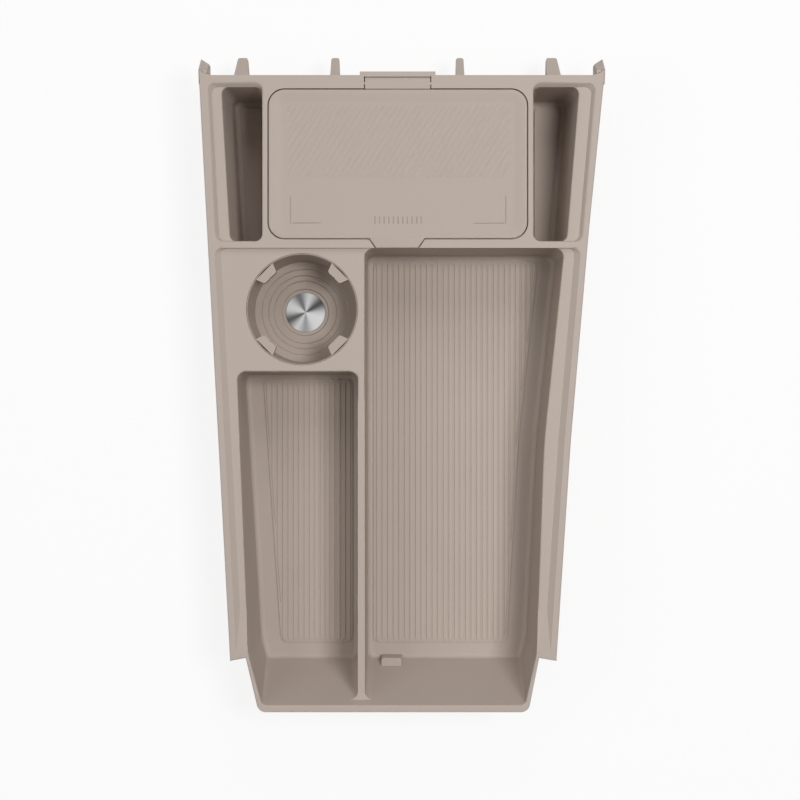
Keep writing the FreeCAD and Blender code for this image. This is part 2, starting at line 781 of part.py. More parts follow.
def block_outline(inset, reach):
    """Outline of the stop block, moved in at its sides and forwards along the slope."""
    return [
        (f"-block_left + {inset}", f"-{FLOOR_FRONT} + block_back - {inset}"),
        (f"-block_left + block_width - {inset}", f"-{FLOOR_FRONT} + block_back - {inset}"),
        (f"-block_left + block_width - {inset}", f"-{FLOOR_FRONT} - block_bite - {reach}"),
        (f"-block_left + {inset}", f"-{FLOOR_FRONT} - block_bite - {reach}"),
    ]


# Lid

LID = [
    ("-lid_left", "lid_rear"),
    ("lid_right", "lid_rear"),
    ("lid_right", "lid_front"),
    ("-lid_left", "lid_front"),
]


def lid_outline(inset):
    """Outline of the lid, moved inwards."""
    return grown(LID, f"-({inset})", BAY_SIGNS)


def make_lid_panel():
    """Upper half of the lid: lip, dished face and slanted ribs."""
    body = new_body("lid_panel")
    outline = polygon(body, "panel_outline", RIM, LID, ["lid_corner"] * 4)
    pad(body, "panel_plate", outline, "lid_panel_height - lid_under_chamfer", down=True)
    edge = polygon(body, "panel_edge_outline", f"{RIM} - lid_panel_height + lid_under_chamfer", LID,
                   ["lid_corner"] * 4)
    under = polygon(body, "panel_under_outline", f"{RIM} - lid_panel_height", lid_outline("lid_under_chamfer"),
                    ["lid_corner - lid_under_chamfer"] * 4)
    loft(body, "panel_under", [edge, under])
    upper = polygon(body, "dish_top", RIM, lid_outline("lid_lip"), ["lid_corner - lid_lip"] * 4)
    lower = polygon(body, "dish_foot", f"{RIM} - lid_dish", lid_outline("lid_lip + lid_slope"),
                    ["lid_corner - lid_lip - lid_slope"] * 4)
    loft(body, "dish", [upper, lower], cut=True)
    tab = polygon(body, "tab_outline", RIM, tab_outline("0"))
    pad(body, "thumb_tab", tab, "lid_panel_height", down=True)
    add_slanted_ribs(body)
    return body


def add_slanted_ribs(body):
    """Raised field on the dished face, cut into slanted ribs by a row of grooves."""
    field = [
        ("-slant_left", "slant_rear"),
        ("slant_right", "slant_rear"),
        ("slant_right", "slant_front"),
        ("-slant_left", "slant_front"),
    ]
    face = f"{RIM} - lid_dish"
    sketch = polygon(body, "rib_field_outline", face, field)
    pad(body, "rib_field", sketch, "slant_height")
    slant = "(slant_rear - slant_front) / tan(slant_angle * 1 deg)"
    lean = "slant_spare / tan(slant_angle * 1 deg)"
    groove = [
        (f"-slant_left - {slant} - {lean}", "slant_front - slant_spare"),
        (f"-slant_left - {slant} - {lean} + slant_groove", "slant_front - slant_spare"),
        (f"-slant_left + {lean} + slant_groove", "slant_rear + slant_spare"),
        (f"-slant_left + {lean}", "slant_rear + slant_spare"),
    ]
    sketch = polygon(body, "groove_outline", f"{face} + slant_height", groove)
    cut = body.newObject("PartDesign::Pocket", "groove")
    cut.Profile = sketch
    cut.setExpression("Length", named("slant_height"))
    doc.recompute()
    run = f"slant_left + slant_right + {slant}"
    row_of(body, "slanted_grooves", cut, "X_Axis", run, "slant_pitch")


def row_of(body, label, feature, role, run, pitch):
    """Row of copies of a feature along an axis, as many as fit in the run."""
    before = body.Shape.Volume
    pattern = body.newObject("PartDesign::LinearPattern", label)
    pattern.Originals = [feature]
    axis = [item for item in body.Origin.OriginFeatures if item.Role == role][0]
    pattern.Direction = (axis, [""])
    count = f"floor(({run}) / {pitch})"
    pattern.setExpression("Length", named(f"{count} * {pitch}"))
    pattern.setExpression("Occurrences", named(f"{count} + 1"))
    body.Tip = pattern
    doc.recompute()
    if abs(body.Shape.Volume - before) < 1e-6:
        raise ValueError(f"{label} adds nothing")
    return pattern


def make_lid_frame():
    """Lower half of the lid: plate, inner flange and hinge knuckle."""
    body = new_body("lid_frame")
    top = f"{RIM} - lid_panel_height"
    under = f"{top} - lid_frame_height"
    plate = polygon(body, "frame_outline", top, lid_outline("lid_frame_inset"),
                    ["lid_corner - lid_frame_inset"] * 4)
    pad(body, "frame_plate", plate, "lid_frame_height", down=True)
    outer = polygon(body, "flange_outline", under, lid_outline("lid_flange_inset"),
                    ["lid_corner - lid_flange_inset"] * 4)
    pad(body, "flange", outer, "lid_flange_height", down=True)
    inner = polygon(body, "flange_hollow_outline", under,
                    lid_outline("lid_flange_inset + lid_flange_wall"),
                    ["lid_corner - lid_flange_inset - lid_flange_wall"] * 4)
    pocket(body, "flange_hollow", inner, "lid_flange_height")
    knuckle = [
        ("hinge_axis_back + knuckle_back", RIM),
        ("hinge_axis_back - knuckle_front", RIM),
        ("hinge_axis_back - knuckle_front", top),
        ("hinge_axis_back - knuckle_tail", top),
        ("hinge_axis_back - knuckle_tail", under),
        ("hinge_axis_back - knuckle_radius", f"{AXIS} - knuckle_radius"),
        ("hinge_axis_back + knuckle_back", f"{AXIS} - knuckle_radius"),
    ]
    radii = ["knuckle_round", None, None, None, None, None, "knuckle_round"]
    sketch = polygon(body, "knuckle_outline", "-hinge_left + knuckle_side", knuckle, radii, role="YZ_Plane")
    pad(body, "knuckle", sketch, "hinge_left + hinge_right - 2 * knuckle_side")
    bore = circle(body, "knuckle_bore_outline", "-hinge_left", ("hinge_axis_back", AXIS),
                  "pin_radius + pin_run", role="YZ_Plane")
    pocket(body, "knuckle_bore", bore, "hinge_left + hinge_right", up=True)
    return body


def make_hinge_pin():
    """Steel pin held in the tray's ears."""
    body = new_body("hinge_pin")
    outline = circle(body, "pin_outline", "-hinge_left - pin_grip", ("hinge_axis_back", AXIS), "pin_radius",
                     role="YZ_Plane")
    pad(body, "pin", outline, "hinge_left + hinge_right + 2 * pin_grip")
    return body


# Cup

TERRACES = ["terrace_a", "terrace_b", "terrace_c", "terrace_d"]
LUG_TURN = 45.0


def make_cup_liner():
    """Lining of the cup well: plain wall, terraced floor, disc seat and four grip lugs."""
    body = new_body("cup_liner")
    body.setExpression("Placement.Base.x", named("-cup_left"))
    body.setExpression("Placement.Base.y", named("cup_back"))
    body.setExpression("Placement.Base.z", named(LEDGE))
    outer = "cup_radius - seat_gap"
    inner = f"{outer} - liner_wall"
    seat = "-cup_depth + liner_floor"
    profile = [
        ("0", "-cup_depth"),
        (outer, "-cup_depth"),
        (outer, "-lug_drop / 2"),
        (f"{outer} - liner_lip", "-lug_drop / 2"),
    ]
    for i, radius in enumerate(TERRACES):
        level = f"{seat} + disc_height + terrace_rise * {len(TERRACES) - i}"
        profile.append((inner if i == 0 else f"{TERRACES[i - 1]} - terrace_slope", level))
        profile.append((radius, level))
    profile.append((f"{TERRACES[-1]} - terrace_slope", f"{seat} + disc_height"))
    profile.append(("disc_radius + seat_gap", f"{seat} + disc_height"))
    profile.append(("disc_radius + seat_gap", seat))
    profile.append(("0", seat))
    sketch = polygon(body, "liner_profile", "0", profile, role="XZ_Plane")
    turn = body.newObject("PartDesign::Revolution", "liner")
    turn.Profile = sketch
    turn.ReferenceAxis = (sketch, ["V_Axis"])
    turn.Angle = 360
    doc.recompute()
    lug = lug_outline(body, inner)
    pad(body, "lug", lug, "lug_height", down=True)
    pattern = body.newObject("PartDesign::PolarPattern", "lugs")
    pattern.Originals = [body.getObject("lug")]
    pattern.Axis = ([item for item in body.Origin.OriginFeatures if item.Role == "Z_Axis"][0], [""])
    pattern.Angle = 360
    pattern.Occurrences = 4
    body.Tip = pattern
    doc.recompute()
    return body


def lug_outline(body, inner):
    """One grip lug that narrows to a notched nose, turned to lie between the tray's axes."""
    nose = f"{inner} + liner_wall - lug_reach"
    root = f"{inner} + liner_wall / 2"
    corners = [
        (root, "-lug_width / 2"),
        (root, "lug_width / 2"),
        (nose, "lug_nose / 2"),
        (nose, "lug_notch"),
        (f"{nose} + lug_notch", "0"),
        (nose, "-lug_notch"),
        (nose, "-lug_nose / 2"),
    ]
    radii = [None, None, "lug_corner", None, None, None, "lug_corner"]
    sketch = polygon(body, "lug_outline", "-lug_drop", corners, radii)
    sketch.AttachmentOffset = Placement(sketch.AttachmentOffset.Base, Rotation(Vector(0, 0, 1), LUG_TURN))
    doc.recompute()
    return sketch


def make_cup_disc():
    """Metal disc in the seat at the bottom of the cup."""
    body = new_body("cup_disc")
    level = f"{LEDGE} - cup_depth + liner_floor"
    outline = circle(body, "disc_outline", level, ("-cup_left", "cup_back"), "disc_radius")
    pad(body, "disc", outline, "disc_height")
    return body


# Mats

SMALL_MAT = [
    ("-small_left_rear + mat_side", "small_rear - well_draft - floor_round - mat_clear"),
    (f"{DIVIDER_LEFT} - well_draft - floor_round - mat_clear",
     "small_rear - well_draft - floor_round - mat_clear"),
    (f"{DIVIDER_LEFT} - well_draft - floor_round - mat_clear", f"-{MAT_FRONT}"),
    ("-small_floor_front + mat_side", f"-{MAT_FRONT}"),
]
LARGE_MAT = [
    (f"{DIVIDER_RIGHT} + well_draft + floor_round + mat_clear",
     "ledge_rear - well_draft - floor_round - mat_clear"),
    ("large_right_rear - mat_side", "ledge_rear - well_draft - floor_round - mat_clear"),
    ("large_right_middle - mat_side", "-rim_middle"),
    ("large_floor_front - mat_side", f"-{MAT_FRONT}"),
    (f"{DIVIDER_RIGHT} + well_draft + floor_round + mat_clear", f"-{MAT_FRONT}"),
]
SMALL_MAT_SIGNS = [("-", "+"), ("+", "+"), ("+", "-"), ("-", "-")]
LARGE_MAT_SIGNS = [("-", "+"), ("+", "+"), ("+", ""), ("+", "-"), ("-", "-")]


def make_mat(label, corners, signs, radii, pitch):
    """Mat with a plain border and a field of ribs that run front to back."""
    body = new_body(label)
    base = polygon(body, f"{label}_outline", FLOOR, corners, radii)
    pad(body, f"{label}_base", base, "mat_height - mat_rib")
    field_corners = grown(corners, "-mat_border", signs)
    field = polygon(body, f"{label}_field", f"{FLOOR} + mat_height - mat_rib", field_corners)
    pad(body, f"{label}_ribs", field, "mat_rib")
    spare = "mat_border / 2"
    low = field_corners[-1]
    left = field_corners[0][0]
    if label == "mat_large":
        left = low[0]
    start = f"{left} - mat_groove / 2"
    groove = [
        (start, f"-{MAT_FRONT} + {spare}"),
        (f"{start} + mat_groove", f"-{MAT_FRONT} + {spare}"),
        (f"{start} + mat_groove", f"{corners[0][1]} - {spare}"),
        (start, f"{corners[0][1]} - {spare}"),
    ]
    sketch = polygon(body, f"{label}_groove_outline", f"{FLOOR} + mat_height", groove)
    cut = body.newObject("PartDesign::Pocket", f"{label}_groove")
    cut.Profile = sketch
    cut.setExpression("Length", named("mat_rib"))
    doc.recompute()
    run = f"{field_corners[1][0]} - ({left})"
    row_of(body, f"{label}_grooves", cut, "X_Axis", run, pitch)
    return body


def make_pocket_mat(side):
    """Plain pad on the floor of a side pocket."""
    step, step_foot, top, floor, signs = pocket_outlines(side)
    body = new_body(f"mat_pocket_{side}")
    outline = grown(floor, "-(floor_round + mat_clear)", signs)
    sketch = polygon(body, f"mat_pocket_{side}_outline", FLOOR, outline, ["mat_corner / 2"] * 4)
    pad(body, f"mat_pocket_{side}_pad", sketch, "mat_height")
    return body


def main():
    """Build every piece, check it and write it."""
    fill_sheet()
    pieces = [
        make_tray(),
        make_lid_frame(),
        make_lid_panel(),
        make_hinge_pin(),
        make_cup_liner(),
        make_cup_disc(),
        make_mat("mat_small", SMALL_MAT, SMALL_MAT_SIGNS, ["mat_corner"] * 4, "mat_pitch_small"),
        make_mat("mat_large", LARGE_MAT, LARGE_MAT_SIGNS,
                 ["mat_corner", "mat_corner", "side_bend", "mat_corner", "mat_corner"], "mat_pitch"),
        make_pocket_mat("left"),
        make_pocket_mat("right"),
    ]
    doc.recompute()
    for item in doc.Objects:
        if "Invalid" in item.State or "Error" in item.State:
            raise ValueError(f"{item.Label} failed: {item.State}")
    os.makedirs("parts", exist_ok=True)
    for piece in pieces:
        shape = piece.Shape
        if shape.isNull() or not shape.isValid():
            raise ValueError(f"{piece.Label} has no valid shape")
        shape.exportStep(f"parts/{piece.Label}.step")
        print(piece.Label, len(shape.Solids), "solids", round(shape.Volume / 1000, 2), "cm3")


main()
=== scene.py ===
"""Dresses and stages the center console organizer tray: moulded shell, hinged lid, cup well and ribbed mats.

Lengths are in metres unless a name ends in _mm. The frame's origin lies under the middle of the tray,
+Y points to the rear edge with the hinge and +Z up out of the wells.
"""

import json
import logging
import math
from dataclasses import dataclass
from enum import Enum
from typing import Sequence

import bmesh
import bpy
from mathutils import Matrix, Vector

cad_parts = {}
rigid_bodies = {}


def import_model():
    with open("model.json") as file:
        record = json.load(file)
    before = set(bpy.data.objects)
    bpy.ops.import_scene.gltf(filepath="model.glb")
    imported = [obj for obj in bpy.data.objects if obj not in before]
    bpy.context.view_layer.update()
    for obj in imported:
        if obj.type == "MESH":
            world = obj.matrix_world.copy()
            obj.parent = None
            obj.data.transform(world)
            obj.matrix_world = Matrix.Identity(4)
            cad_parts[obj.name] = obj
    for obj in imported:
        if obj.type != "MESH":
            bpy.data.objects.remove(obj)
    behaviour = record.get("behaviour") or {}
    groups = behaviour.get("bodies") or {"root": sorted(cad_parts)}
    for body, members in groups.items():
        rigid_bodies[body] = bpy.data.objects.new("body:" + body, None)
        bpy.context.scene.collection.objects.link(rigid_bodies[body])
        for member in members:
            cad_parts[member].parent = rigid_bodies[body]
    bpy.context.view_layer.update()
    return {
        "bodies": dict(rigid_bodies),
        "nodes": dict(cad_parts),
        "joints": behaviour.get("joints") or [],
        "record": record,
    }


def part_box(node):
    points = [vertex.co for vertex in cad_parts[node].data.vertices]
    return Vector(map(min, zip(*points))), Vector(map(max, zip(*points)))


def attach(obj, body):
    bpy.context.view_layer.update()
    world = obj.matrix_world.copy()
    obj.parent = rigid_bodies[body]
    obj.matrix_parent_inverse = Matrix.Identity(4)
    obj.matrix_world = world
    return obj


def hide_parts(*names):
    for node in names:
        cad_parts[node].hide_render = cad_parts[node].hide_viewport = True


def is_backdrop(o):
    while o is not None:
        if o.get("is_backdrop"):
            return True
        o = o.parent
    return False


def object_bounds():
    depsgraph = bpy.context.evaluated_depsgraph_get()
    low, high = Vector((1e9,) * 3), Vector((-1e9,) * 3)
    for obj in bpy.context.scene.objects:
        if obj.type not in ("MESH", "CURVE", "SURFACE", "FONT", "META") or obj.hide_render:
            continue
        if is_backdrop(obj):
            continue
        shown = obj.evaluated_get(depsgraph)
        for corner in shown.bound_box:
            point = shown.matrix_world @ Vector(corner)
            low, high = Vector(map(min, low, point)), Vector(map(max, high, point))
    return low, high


log = logging.getLogger("organizer_tray")

MM = 0.001

# Folds of a mesh: flatter than the first are dissolved, sharper than the second stay sharp in the
# shading, and sharper than the third may be rounded
FLAT_ANGLE = math.radians(0.4)
SMOOTH_ANGLE = math.radians(28.0)
EDGE_ANGLE = math.radians(50.0)

# Reach within which points of a CAD mesh are merged, and length below which its edges are dissolved
MERGE_REACH = 1e-6
SLIVER_LENGTH = 1e-7

# How far an edge may lie from the height that it is looked for at
LEVEL_SLACK = 0.02 * MM

# How far a raised detail sinks into what carries it
SINK = 0.02 * MM

# How much more a large face counts than a small one in the shading of a CAD copy
FACE_WEIGHT = 95

# Sides of the round section that ribs and strokes are cut from
BAR_SIDES = 12

# Sockets of a colour Mix node and of a Mix Shader node that share their names with others
MIX_AMOUNT = 0
MIX_LOW = 6
MIX_HIGH = 7
MIX_RESULT = 2
BLEND_LOW = 1
BLEND_HIGH = 2

Point = tuple[float, float]
Place = tuple[float, float, float]
Box = tuple[float, float, float, float]
Colour = tuple[float, float, float]


class Slot(str, Enum):
    """Material slots of the record."""

    TRAY = "tray_plastic"
    LID = "lid_plastic"
    LINER = "soft_liner"
    MAT = "soft_mat"
    DISC = "disc_steel"
    PIN = "pin_steel"


class Body(str, Enum):
    """Rigid bodies of the tray."""

    TRAY = "tray"
    LID = "lid"


# Node expressions


class Wire:
    """A value in a node tree that can be used in Python arithmetic."""

    def __init__(self, tree: bpy.types.NodeTree, socket: bpy.types.NodeSocket) -> None:
        """Wrap an output socket.

        Args:
            tree: Node tree that new Math nodes go into.
            socket: Output that this value comes from.
        """
        self.tree = tree
        self.socket = socket

    def _join(self, operation: str, first: "Wire | float", second: "Wire | float") -> "Wire":
        """Add a Math node for one operation.

        Args:
            operation: Math node operation.
            first: Left side.
            second: Right side.

        Returns:
            The node's result.
        """
        node = self.tree.nodes.new("ShaderNodeMath")
        node.operation = operation
        for socket, value in zip(node.inputs, (first, second)):
            if isinstance(value, Wire):
                self.tree.links.new(value.socket, socket)
            else:
                socket.default_value = value
        return Wire(self.tree, node.outputs[0])

    def __add__(self, other: "Wire | float") -> "Wire":
        """Sum."""
        return self._join("ADD", self, other)

    __radd__ = __add__

    def __mul__(self, other: "Wire | float") -> "Wire":
        """Product."""
        return self._join("MULTIPLY", self, other)

    __rmul__ = __mul__

    def __sub__(self, other: "Wire | float") -> "Wire":
        """Difference."""
        return self._join("SUBTRACT", self, other)

    def __rsub__(self, other: "Wire | float") -> "Wire":
        """Reflected difference, so that 1 - mask works."""
        return self._join("SUBTRACT", other, self)

    def __truediv__(self, other: "Wire | float") -> "Wire":
        """Quotient."""
        return self._join("DIVIDE", self, other)

    def call(self, operation: str, other: "Wire | float" = 0.0) -> "Wire":
        """Any other Math operation on this value."""
        return self._join(operation, self, other)


class NodeMaker:
    """A node tree and the one way in which its nodes are added."""

    def __init__(self, tree: bpy.types.NodeTree) -> None:
        """Keep the tree that new nodes go into."""
        self.tree = tree

    def node(self, kind: str, settings: dict | None = None, inputs: dict | None = None) -> bpy.types.Node:
        """Add a node of any kind.

        Args:
            kind: Node type.
            settings: Attributes of the node, set before its sockets.
            inputs: Names or numbers of sockets with their values, or with the Wire or output that feeds them.

        Returns:
            The new node.
        """
        node = self.tree.nodes.new(kind)
        for name, value in (settings or {}).items():
            setattr(node, name, value)
        for name, value in (inputs or {}).items():
            self.feed(node.inputs[name], value)
        return node

    def feed(self, socket: bpy.types.NodeSocket, value: object) -> None:
        """Give a socket a constant, a Wire or another node's output."""
        if isinstance(value, Wire):
            self.tree.links.new(value.socket, socket)
        elif isinstance(value, bpy.types.NodeSocket):
            self.tree.links.new(value, socket)
        else:
            socket.default_value = value

    def wire(self, socket: bpy.types.NodeSocket) -> Wire:
        """Wrap an output for arithmetic."""
        return Wire(self.tree, socket)


# Finishes


def shaded(colour: Colour, factor: float) -> Colour:
    """A colour made darker or lighter by a factor."""
    return tuple(min(channel * factor, 1.0) for channel in colour)


class Shader(NodeMaker):
    """One material and the nodes in it."""

    def __init__(self, name: str) -> None:
        """Make an empty material with a Principled shader."""
        self.material = bpy.data.materials.new(name)
        self.material.use_nodes = True
        super().__init__(self.material.node_tree)
        self.surface = self.tree.nodes["Principled BSDF"]

    def set(self, name: str, value: object) -> None:
        """Set or feed one socket of the Principled shader."""
        self.feed(self.surface.inputs[name], value)

    def place(self) -> bpy.types.NodeSocket:
        """Object coordinates."""
        return self.node("ShaderNodeTexCoord").outputs["Object"]

    def noise(self, size: float, detail: float = 2.0, stretch: Place | None = None) -> Wire:
        """Noise with features of about a given size.

        Args:
            size: Feature size in metres.
            detail: Noise detail.
            stretch: Scale of the pattern along each axis, if it isn't even.

        Returns:
            Noise from 0 to 1.
        """
        place = self.place()
        if stretch is not None:
            mapping = self.node("ShaderNodeMapping", inputs={"Vector": place, "Scale": stretch})
            place = mapping.outputs["Vector"]
        node = self.node("ShaderNodeTexNoise", inputs={
            "Vector": place,
            "Scale": 1.0 / size,
            "Detail": detail,
        })
        return self.wire(node.outputs["Fac"])

    def mix(self, amount: Wire, low: Colour, high: Colour) -> bpy.types.NodeSocket:
        """Colour between two, by an amount from 0 to 1."""
        node = self.node("ShaderNodeMix", {"data_type": "RGBA", "clamp_factor": True}, {
            MIX_AMOUNT: amount,
            MIX_LOW: (*low, 1.0),
            MIX_HIGH: (*high, 1.0),
        })
        return node.outputs[MIX_RESULT]

    def mottle(self, colour: Colour, spread: float, amount: Wire) -> None:
        """Colour the surface from a little darker to a little lighter, by an amount from 0 to 1."""
        self.set("Base Color", self.mix(amount, shaded(colour, 1 - spread), shaded(colour, 1 + spread)))

    def roughen(self, level: float, spread: float, amount: Wire) -> None:
        """Vary the roughness by a spread around its level, by an amount from 0 to 1."""
        self.set("Roughness", amount * spread + (level - spread / 2))

    def bump(self, height: Wire, distance: float, strength: float) -> None:
        """Feed a height into the surface's normal."""
        node = self.node("ShaderNodeBump", inputs={
            "Height": height,
            "Distance": distance,
            "Strength": strength,
        })
        self.set("Normal", node.outputs["Normal"])


@dataclass(frozen=True)
class MouldedPlastic:
    """Matte moulded plastic with a fine spark grain."""

    name: str
    colour: Colour
    grain_mm: float = 0.45
    grain_depth_mm: float = 0.025
    grain_strength: float = 0.55
    grain_share: float = 0.3
    cloud_mm: float = 60.0
    detail: float = 3.0
    mottle: float = 0.02
    roughness: float = 0.56
    roughness_spread: float = 0.14
    sheen: float = 0.35

    def build(self) -> bpy.types.Material:
        """Make the material."""
        shader = Shader(self.name)
        clouds = shader.noise(self.cloud_mm * MM, self.detail)
        grain = shader.noise(self.grain_mm * MM, self.detail)
        tone = clouds * (1 - self.grain_share) + grain * self.grain_share
        shader.mottle(self.colour, self.mottle, tone)
        shader.roughen(self.roughness, self.roughness_spread, grain)
        shader.set("Specular IOR Level", self.sheen)
        shader.bump(grain, self.grain_depth_mm * MM, self.grain_strength)
        return shader.material


@dataclass(frozen=True)
class SoftRubber:
    """Soft moulded rubber, duller than the plastic."""

    name: str
    colour: Colour
    grain_mm: float = 0.3
    grain_depth_mm: float = 0.015
    grain_strength: float = 0.5
    cloud_mm: float = 35.0
    mottle: float = 0.03
    roughness: float = 0.72
    roughness_spread: float = 0.1
    sheen: float = 0.25

    def build(self) -> bpy.types.Material:
        """Make the material."""
        shader = Shader(self.name)
        grain = shader.noise(self.grain_mm * MM)
        shader.mottle(self.colour, self.mottle, shader.noise(self.cloud_mm * MM))
        shader.roughen(self.roughness, self.roughness_spread, grain)
        shader.set("Specular IOR Level", self.sheen)
        shader.bump(grain, self.grain_depth_mm * MM, self.grain_strength)
        return shader.material


@dataclass(frozen=True)
class PaintedSpoke:
    """Spoke of a spun disc painted into its colour as painted reflection: its bearing, how narrow it is and
    how dark it gets.
    """

    bearing_degrees: float
    sharpness: float
    depth: float


@dataclass(frozen=True)
class SpunSteel:
    """Turned steel disc with fine ring bumps, and soft dark spokes painted into its colour as painted
    reflection of the rings.
    """

    name: str
    centre: Point
    spokes: Sequence[PaintedSpoke]
    # Colours that the painted reflection runs between: in the spokes and between them
    dark: Colour = (0.035, 0.036, 0.038)
    light: Colour = (0.66, 0.67, 0.67)
    ring_mm: float = 0.16
    ring_depth_mm: float = 0.004
    ring_strength: float = 0.4
    metal: float = 0.6
    roughness: float = 0.34

    def build(self) -> bpy.types.Material:
        """Make the material."""
        shader = Shader(self.name)
        offset = (-self.centre[0], -self.centre[1], 0.0)
        place = shader.node("ShaderNodeMapping", inputs={"Vector": shader.place(), "Location": offset})
        parts = shader.node("ShaderNodeSeparateXYZ", inputs={"Vector": place.outputs["Vector"]})
        x = shader.wire(parts.outputs["X"])
        y = shader.wire(parts.outputs["Y"])
        angle = y.call("ARCTAN2", x)
        # Painted reflection: dark spokes by bearing around the disc's middle, painted into the base colour
        shade = None
        for spoke in self.spokes:
            half_turn = (angle - math.radians(spoke.bearing_degrees)) * 0.5
            dark = half_turn.call("COSINE").call("ABSOLUTE").call("POWER", spoke.sharpness) * spoke.depth
            shade = dark if shade is None else shade.call("MAXIMUM", dark)
        radius = (x * x + y * y).call("SQRT")
        rings = (radius * (2 * math.pi / (self.ring_mm * MM))).call("SINE")
        shader.set("Base Color", shader.mix(1 - shade, self.dark, self.light))
        shader.set("Metallic", self.metal)
        shader.set("Roughness", self.roughness)
        shader.bump(rings, self.ring_depth_mm * MM, self.ring_strength)
        return shader.material


@dataclass(frozen=True)
class DrawnSteel:
    """Plain drawn steel rod, with streaks along X."""

    name: str
    colour: Colour = (0.55, 0.55, 0.56)
    streak_mm: float = 0.2
    stretch: Place = (0.05, 1.0, 1.0)
    mottle: float = 0.1
    least_roughness: float = 0.28
    roughness_spread: float = 0.15

    def build(self) -> bpy.types.Material:
        """Make the material."""
        shader = Shader(self.name)
        streaks = shader.noise(self.streak_mm * MM, stretch=self.stretch)
        shader.mottle(self.colour, self.mottle, streaks)
        shader.set("Metallic", 1.0)
        shader.set("Roughness", streaks * self.roughness_spread + self.least_roughness)
        return shader.material


@dataclass(frozen=True)
class PaleBackdrop:
    """White floor that keeps a faint shadow of the tray."""

    name: str = "pale_floor"
    colour: Colour = (0.80, 0.80, 0.80)
    light: Colour = (1.0, 1.0, 1.0)
    glow: float = 0.86
    roughness: float = 0.9

    def build(self) -> bpy.types.Material:
        """Make the material: plain matte, and mostly white to the camera and to mirror-like surfaces."""
        shader = Shader(self.name)
        shader.set("Base Color", (*self.colour, 1.0))
        shader.set("Roughness", self.roughness)
        shader.set("Specular IOR Level", 0.0)
        path = shader.node("ShaderNodeLightPath")
        seen = shader.wire(path.outputs["Is Camera Ray"])
        for name in ("Is Glossy Ray", "Is Transmission Ray"):
            seen = seen.call("MAXIMUM", shader.wire(path.outputs[name]))
        white = shader.node("ShaderNodeEmission", inputs={"Color": (*self.light, 1.0), "Strength": 1.0})
        blend = shader.node("ShaderNodeMixShader", inputs={
            "Fac": seen * self.glow,
            BLEND_LOW: shader.surface.outputs["BSDF"],
            BLEND_HIGH: white.outputs["Emission"],
        })
        shader.feed(shader.tree.nodes["Material Output"].inputs["Surface"], blend.outputs["Shader"])
        return shader.material


# The tray's taupe and how dark each piece's own tone of it is; the marks' tone is painted shade, the dark of
# a shadowed engraved line put into their colour
TAUPE = (0.455, 0.385, 0.335)
TRAY_TONE = 0.97
LID_TONE = 0.94
MARK_PAINTED_SHADE_TONE = 0.74
LINER_TONE = 0.93
MAT_TONE = 1.03

LID_GRAIN_MM = 0.4
# Painted reflection spokes of the cup's disc
DISC_PAINTED_SPOKES = (
    PaintedSpoke(33.0, 34.0, 0.95),
    PaintedSpoke(112.0, 46.0, 0.80),
    PaintedSpoke(204.0, 46.0, 0.90),
    PaintedSpoke(270.0, 60.0, 0.55),
)


@dataclass
class Palette:
    """Every finish of the tray, made once."""

    tray: bpy.types.Material
    lid: bpy.types.Material
    # Darker finish of the lid's marks and ticks: painted shade of engraved lines
    mark: bpy.types.Material
    liner: bpy.types.Material
    mat: bpy.types.Material
    disc: bpy.types.Material
    pin: bpy.types.Material

    @classmethod
    def make(cls, cup_centre: Point) -> "Palette":
        """Build the finishes.

        Args:
            cup_centre: Middle of the cup well, for the disc's rings.

        Returns:
            The palette.
        """
        return cls(
            tray=MouldedPlastic("taupe_tray_plastic", shaded(TAUPE, TRAY_TONE)).build(),
            lid=MouldedPlastic("taupe_lid_plastic", shaded(TAUPE, LID_TONE), LID_GRAIN_MM).build(),
            # The marks' finish is a shaded copy of the lid plastic: painted shade of engraved lines
            mark=MouldedPlastic("taupe_mark_painted_shade", shaded(TAUPE, MARK_PAINTED_SHADE_TONE), LID_GRAIN_MM).build(),
            liner=SoftRubber("taupe_soft_liner", shaded(TAUPE, LINER_TONE)).build(),
            mat=SoftRubber("taupe_soft_mat", shaded(TAUPE, MAT_TONE)).build(),
            disc=SpunSteel("spun_steel_painted_spokes", cup_centre, DISC_PAINTED_SPOKES).build(),
            pin=DrawnSteel("drawn_steel_pin").build(),
        )


# Mesh helpers


def rounded_box(area: Box, radius: float, steps: int = 10) -> list[Point]:
    """Outline of a rectangle with round corners, counter-clockwise.

    Args:
        area: Left, right, front and rear of the rectangle.
        radius: Corner radius.
        steps: Segments in a corner.

    Returns:
        The outline's points.
    """
    left, right, front, rear = area
    centres = [
        (right - radius, rear - radius, 0.0),
        (left + radius, rear - radius, 90.0),
        (left + radius, front + radius, 180.0),
        (right - radius, front + radius, 270.0),
    ]
    points = []
    for x, y, start in centres:
        for i in range(steps + 1):
            angle = math.radians(start + 90.0 * i / steps)
            points.append((x + radius * math.cos(angle), y + radius * math.sin(angle)))
    return points


def level_ring(outline: Sequence[Point], height: float) -> list[Vector]:
    """An outline lifted to a height."""
    return [Vector((x, y, height)) for x, y in outline]


def finished(obj: bpy.types.Object) -> bpy.types.Object:
    """Turn an object's modifiers into plain mesh.

    Args:
        obj: Object with modifiers.

    Returns:
        The same object with its evaluated mesh and no modifiers.
    """
    bpy.context.view_layer.update()
    graph = bpy.context.evaluated_depsgraph_get()
    mesh = bpy.data.meshes.new_from_object(obj.evaluated_get(graph))
    obj.modifiers.clear()
    obj.data = mesh
    return obj


def new_object(name: str, mesh: bpy.types.Mesh) -> bpy.types.Object:
    """Link a mesh into the scene under a name."""
    obj = bpy.data.objects.new(name, mesh)
    bpy.context.scene.collection.objects.link(obj)
    return obj


